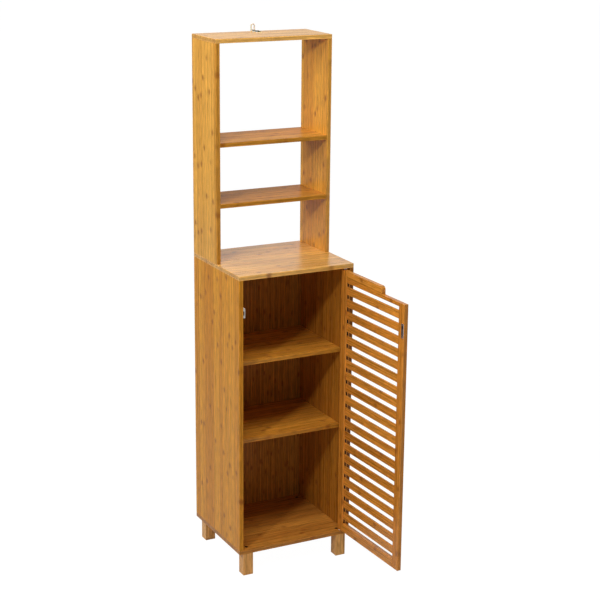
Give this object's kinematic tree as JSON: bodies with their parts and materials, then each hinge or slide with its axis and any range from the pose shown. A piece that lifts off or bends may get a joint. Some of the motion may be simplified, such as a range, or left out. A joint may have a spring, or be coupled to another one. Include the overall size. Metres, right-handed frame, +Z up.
{
  "type": "tall bathroom cabinet",
  "caption": "Tall, narrow bamboo bathroom cabinet: an open rack above a cupboard with inner shelves and a slatted door, on short square legs.",
  "frame": {"origin": "on the floor, midway between the sides, in the plane of the cabinet's front edges", "axes": "+X to the right as seen from the front, +Y to the rear, +Z up"},
  "size_m": [0.35, 0.612, 1.511],
  "materials": {
    "bamboo_side": "satin lacquer over laminated bamboo, strips upright",
    "bamboo_top": "satin lacquer over laminated bamboo, strips from side to side",
    "bamboo_shelf": "satin lacquer over laminated bamboo, strips from side to side",
    "bamboo_back": "satin lacquer over thin bamboo board, strips upright",
    "bamboo_leg": "satin lacquer over laminated bamboo, strips upright",
    "bamboo_stile": "satin lacquer over laminated bamboo, strips upright",
    "bamboo_rail": "satin lacquer over laminated bamboo, strips along the rail",
    "bamboo_slat": "satin lacquer over laminated bamboo, strips along the slat",
    "beech_dowel": "sawn beech",
    "pin_steel": "zinc-plated steel",
    "screw_steel": "dark zinc-plated steel",
    "strike_screw_steel": "bright zinc-plated steel",
    "bush_nylon": "moulded nylon",
    "catch_plastic": "moulded plastic",
    "catch_ferrite": "pressed ferrite, dull",
    "pole_steel": "rolled steel",
    "strike_steel": "dark oxide over steel",
    "tie_nylon": "moulded translucent nylon",
    "tie_steel": "dark oxide over steel"
  },
  "bodies": {
    "cabinet": {"cabinet_back_panel": "bamboo_back", "cabinet_bottom_panel": "bamboo_top", "cabinet_top_dowels": "beech_dowel", "cabinet_top_panel": "bamboo_top", "catch_housing": "catch_plastic", "catch_magnet": "catch_ferrite", "catch_pole_plates": "pole_steel", "catch_screws": "screw_steel", "hinge_bush_bottom": "bush_nylon", "hinge_bush_top": "bush_nylon", "inner_shelf_lower": "bamboo_shelf", "inner_shelf_upper": "bamboo_shelf", "left_side_panel": "bamboo_side", "leg_bolts": "screw_steel", "leg_front_left": "bamboo_leg", "leg_front_right": "bamboo_leg", "leg_rear_left": "bamboo_leg", "leg_rear_right": "bamboo_leg", "rack_base_dowels": "beech_dowel", "rack_dowels": "beech_dowel", "rack_left_panel": "bamboo_side", "rack_right_panel": "bamboo_side", "rack_shelf_lower": "bamboo_shelf", "rack_shelf_upper": "bamboo_shelf", "rack_top_panel": "bamboo_top", "right_side_panel": "bamboo_side", "shelf_support_pins": "pin_steel", "side_panel_screws": "screw_steel", "tie_eyelet": "tie_nylon", "tie_plate": "tie_steel", "tie_screw": "screw_steel"},
    "door": {"door_bottom_rail": "bamboo_rail", "door_hinge_stile": "bamboo_stile", "door_latch_stile": "bamboo_stile", "door_slat_01": "bamboo_slat", "door_slat_02": "bamboo_slat", "door_slat_03": "bamboo_slat", "door_slat_04": "bamboo_slat", "door_slat_05": "bamboo_slat", "door_slat_06": "bamboo_slat", "door_slat_07": "bamboo_slat", "door_slat_08": "bamboo_slat", "door_slat_09": "bamboo_slat", "door_slat_10": "bamboo_slat", "door_slat_11": "bamboo_slat", "door_slat_12": "bamboo_slat", "door_slat_13": "bamboo_slat", "door_slat_14": "bamboo_slat", "door_slat_15": "bamboo_slat", "door_slat_16": "bamboo_slat", "door_slat_17": "bamboo_slat", "door_slat_18": "bamboo_slat", "door_slat_19": "bamboo_slat", "door_slat_20": "bamboo_slat", "door_top_rail": "bamboo_rail", "hinge_pin_bottom": "pin_steel", "hinge_pin_top": "pin_steel", "strike_plate": "strike_steel", "strike_screws": "strike_screw_steel"}
  },
  "joints": [
    {"name": "door_hinge", "type": "hinge", "parent": "cabinet", "child": "door", "pos_m": [0.152, 0.007, 0.469], "axis": [0, 0, 1], "range_deg": [-92, 22]}
  ]
}
